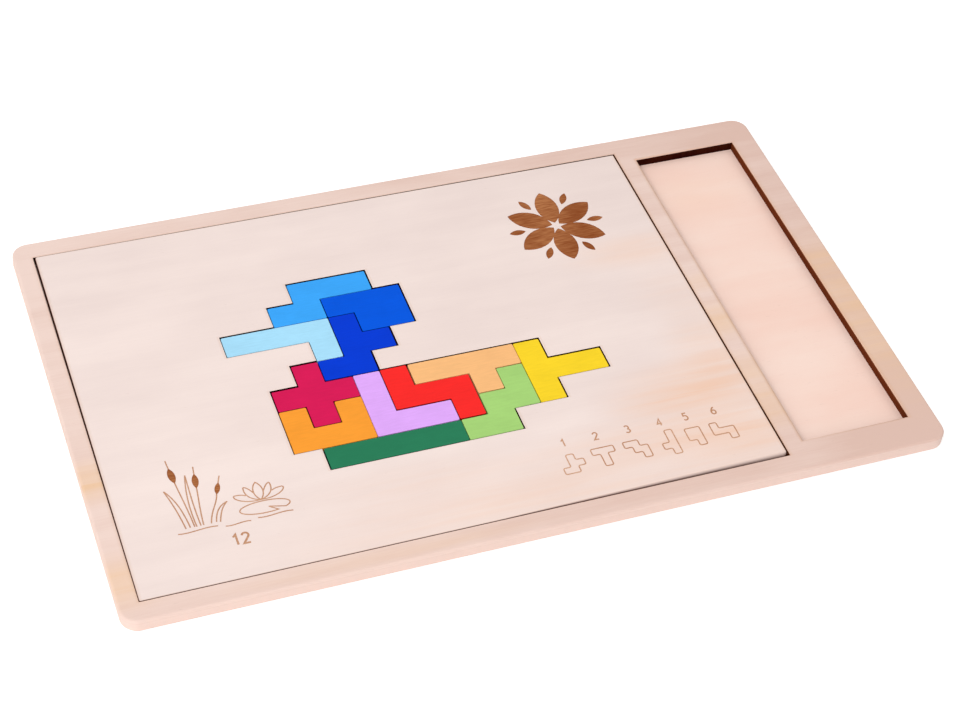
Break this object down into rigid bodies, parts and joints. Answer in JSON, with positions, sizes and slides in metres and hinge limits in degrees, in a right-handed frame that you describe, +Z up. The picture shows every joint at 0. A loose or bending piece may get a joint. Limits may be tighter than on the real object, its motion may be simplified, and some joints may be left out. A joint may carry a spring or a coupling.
{
  "type": "wooden block puzzle",
  "caption": "Shallow plywood tray with a storage slot and a loose picture board whose stepped opening is filled by flat painted blocks of joined squares.",
  "frame": {"origin": "centre of the tray's underside", "axes": "+X along the tray's long side towards the storage slot, +Y to the far long side, +Z up"},
  "size_m": [0.2958, 0.18, 0.0052],
  "materials": {
    "plywood": "sanded, unfinished",
    "board_plywood": "sanded, unfinished, laser-cut",
    "paint_dark_blue": "satin paint on wood",
    "paint_dark_green": "satin paint on wood",
    "paint_pale_cyan": "satin paint on wood",
    "paint_sky_blue": "satin paint on wood",
    "paint_royal_blue": "satin paint on wood",
    "paint_yellow": "satin paint on wood",
    "paint_orange": "satin paint on wood",
    "paint_lavender": "satin paint on wood",
    "paint_light_green": "satin paint on wood",
    "paint_crimson": "satin paint on wood",
    "paint_peach": "satin paint on wood",
    "paint_red": "satin paint on wood"
  },
  "bodies": {
    "tray": {"tray_base": "plywood", "tray_frame": "plywood"},
    "board": {"picture_board": "board_plywood"},
    "block_f": {"block_f_dark_blue": "paint_dark_blue"},
    "block_i": {"block_i_dark_green": "paint_dark_green"},
    "block_l": {"block_l_pale_cyan": "paint_pale_cyan"},
    "block_n": {"block_n_sky_blue": "paint_sky_blue"},
    "block_p": {"block_p_royal_blue": "paint_royal_blue"},
    "block_t": {"block_t_yellow": "paint_yellow"},
    "block_u": {"block_u_orange": "paint_orange"},
    "block_v": {"block_v_lavender": "paint_lavender"},
    "block_w": {"block_w_light_green": "paint_light_green"},
    "block_x": {"block_x_crimson": "paint_crimson"},
    "block_y": {"block_y_peach": "paint_peach"},
    "block_z": {"block_z_red": "paint_red"}
  },
  "joints": [
    {"name": "board_lift", "type": "slide", "parent": "tray", "child": "board", "axis": [0, 0, 1], "range_m": [0, 0.04]},
    {"name": "block_f_lift", "type": "slide", "parent": "tray", "child": "block_f", "axis": [0, 0, 1], "range_m": [0, 0.08]},
    {"name": "block_i_lift", "type": "slide", "parent": "tray", "child": "block_i", "axis": [0, 0, 1], "range_m": [0, 0.08]},
    {"name": "block_l_lift", "type": "slide", "parent": "tray", "child": "block_l", "axis": [0, 0, 1], "range_m": [0, 0.08]},
    {"name": "block_n_lift", "type": "slide", "parent": "tray", "child": "block_n", "axis": [0, 0, 1], "range_m": [0, 0.08]},
    {"name": "block_p_lift", "type": "slide", "parent": "tray", "child": "block_p", "axis": [0, 0, 1], "range_m": [0, 0.08]},
    {"name": "block_t_lift", "type": "slide", "parent": "tray", "child": "block_t", "axis": [0, 0, 1], "range_m": [0, 0.08]},
    {"name": "block_u_lift", "type": "slide", "parent": "tray", "child": "block_u", "axis": [0, 0, 1], "range_m": [0, 0.08]},
    {"name": "block_v_lift", "type": "slide", "parent": "tray", "child": "block_v", "axis": [0, 0, 1], "range_m": [0, 0.08]},
    {"name": "block_w_lift", "type": "slide", "parent": "tray", "child": "block_w", "axis": [0, 0, 1], "range_m": [0, 0.08]},
    {"name": "block_x_lift", "type": "slide", "parent": "tray", "child": "block_x", "axis": [0, 0, 1], "range_m": [0, 0.08]},
    {"name": "block_y_lift", "type": "slide", "parent": "tray", "child": "block_y", "axis": [0, 0, 1], "range_m": [0, 0.08]},
    {"name": "block_z_lift", "type": "slide", "parent": "tray", "child": "block_z", "axis": [0, 0, 1], "range_m": [0, 0.08]}
  ]
}
